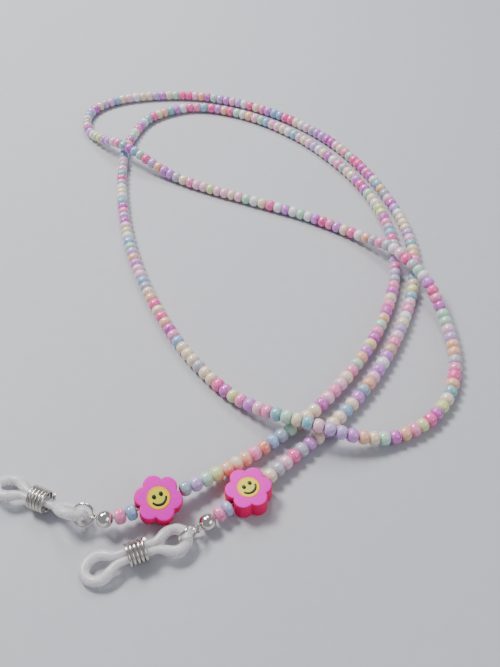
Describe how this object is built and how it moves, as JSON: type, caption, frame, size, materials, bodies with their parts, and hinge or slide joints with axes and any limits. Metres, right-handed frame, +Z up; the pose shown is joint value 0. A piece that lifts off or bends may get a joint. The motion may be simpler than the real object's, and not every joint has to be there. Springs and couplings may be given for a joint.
{
  "type": "eyeglass retainer strap",
  "caption": "Strand of pastel pearl seed beads with a clay flower bead, silver ring and tightening silicone temple loop at each end, lying loosely looped.",
  "frame": {"origin": "on the table under the middle of the strap's outline", "axes": "+Z up from the table it lies on, +Y from the two ends towards the far side of its loops, +X to the right as seen from the ends' side"},
  "size_m": [0.1032, 0.1744, 0.0066],
  "materials": {
    "seed_glass": "opaque pearl glass seed beads in mixed pastel colours",
    "pink_glass": "opaque pearl glass",
    "blue_glass": "opaque pearl glass",
    "lavender_glass": "opaque pearl glass",
    "coated_wire": "nylon-coated stranded beading wire",
    "silver": "polished silver plate",
    "steel": "bright drawn wire",
    "silicone": "translucent white silicone",
    "petal_clay": "baked polymer clay, satin",
    "face_clay": "baked polymer clay, satin"
  },
  "bodies": {
    "strand": {"bead_run_01": "seed_glass", "bead_run_02": "seed_glass", "bead_run_03": "seed_glass", "bead_run_04": "seed_glass", "bead_run_05": "seed_glass", "bead_run_06": "seed_glass", "bead_run_07": "seed_glass", "bead_run_08": "seed_glass", "bead_run_09": "seed_glass", "bead_run_10": "seed_glass", "bead_run_11": "seed_glass", "bead_run_12": "seed_glass", "bead_run_13": "seed_glass", "bead_run_14": "seed_glass", "bead_run_15": "seed_glass", "bead_run_16": "seed_glass", "beading_wire": "coated_wire", "crimp_tube_left": "steel", "crimp_cover_left": "silver", "wire_guard_left": "silver", "crimp_tube_right": "steel", "crimp_cover_right": "silver", "wire_guard_right": "silver", "blue_bead_left": "blue_glass", "pink_bead_left": "pink_glass", "lavender_bead_right": "lavender_glass", "pink_bead_right": "pink_glass"},
    "flower_left": {"flower_petals_left": "petal_clay", "flower_face_left": "face_clay"},
    "ring_left": {"jump_ring_left": "silver"},
    "loop_left": {"temple_loop_left": "silicone"},
    "coil_left": {"sliding_coil_left": "steel"},
    "flower_right": {"flower_petals_right": "petal_clay", "flower_face_right": "face_clay"},
    "ring_right": {"jump_ring_right": "silver"},
    "loop_right": {"temple_loop_right": "silicone"},
    "coil_right": {"sliding_coil_right": "steel"}
  },
  "joints": [
    {"name": "flower_left_spin", "type": "hinge", "parent": "strand", "child": "flower_left", "pos_m": [-0.01327, -0.07174, 0.00323], "axis": [-0.8846, -0.4664, 0], "continuous": true},
    {"name": "ring_left_swing", "type": "hinge", "parent": "strand", "child": "ring_left", "pos_m": [-0.02481, -0.07509, 0.00323], "axis": [0.1504, 0.7735, 0.6157], "range_deg": [0, 45]},
    {"name": "loop_left_fold", "type": "hinge", "parent": "ring_left", "child": "loop_left", "pos_m": [-0.02713, -0.07465, 0.00288], "axis": [0.2406, 0.5667, -0.788], "range_deg": [0, 60]},
    {"name": "coil_left_slide", "type": "slide", "parent": "loop_left", "child": "coil_left", "axis": [-0.9205, 0.3907, 0], "range_m": [-0.001, 0.001]},
    {"name": "flower_right_spin", "type": "hinge", "parent": "strand", "child": "flower_right", "pos_m": [0.00348, -0.06934, 0.002], "axis": [-0.7615, -0.6481, 0], "continuous": true},
    {"name": "ring_right_swing", "type": "hinge", "parent": "strand", "child": "ring_right", "pos_m": [-0.00571, -0.07677, 0.002], "axis": [0, 0, 1], "range_deg": [0, 45]},
    {"name": "loop_right_fold", "type": "hinge", "parent": "ring_right", "child": "loop_right", "pos_m": [-0.00759, -0.07819, 0.002], "axis": [-0.3502, 0.9367, 0], "range_deg": [0, 75]},
    {"name": "coil_right_slide", "type": "slide", "parent": "loop_right", "child": "coil_right", "axis": [-0.9367, -0.3502, 0], "range_m": [-0.001, 0.001]}
  ]
}
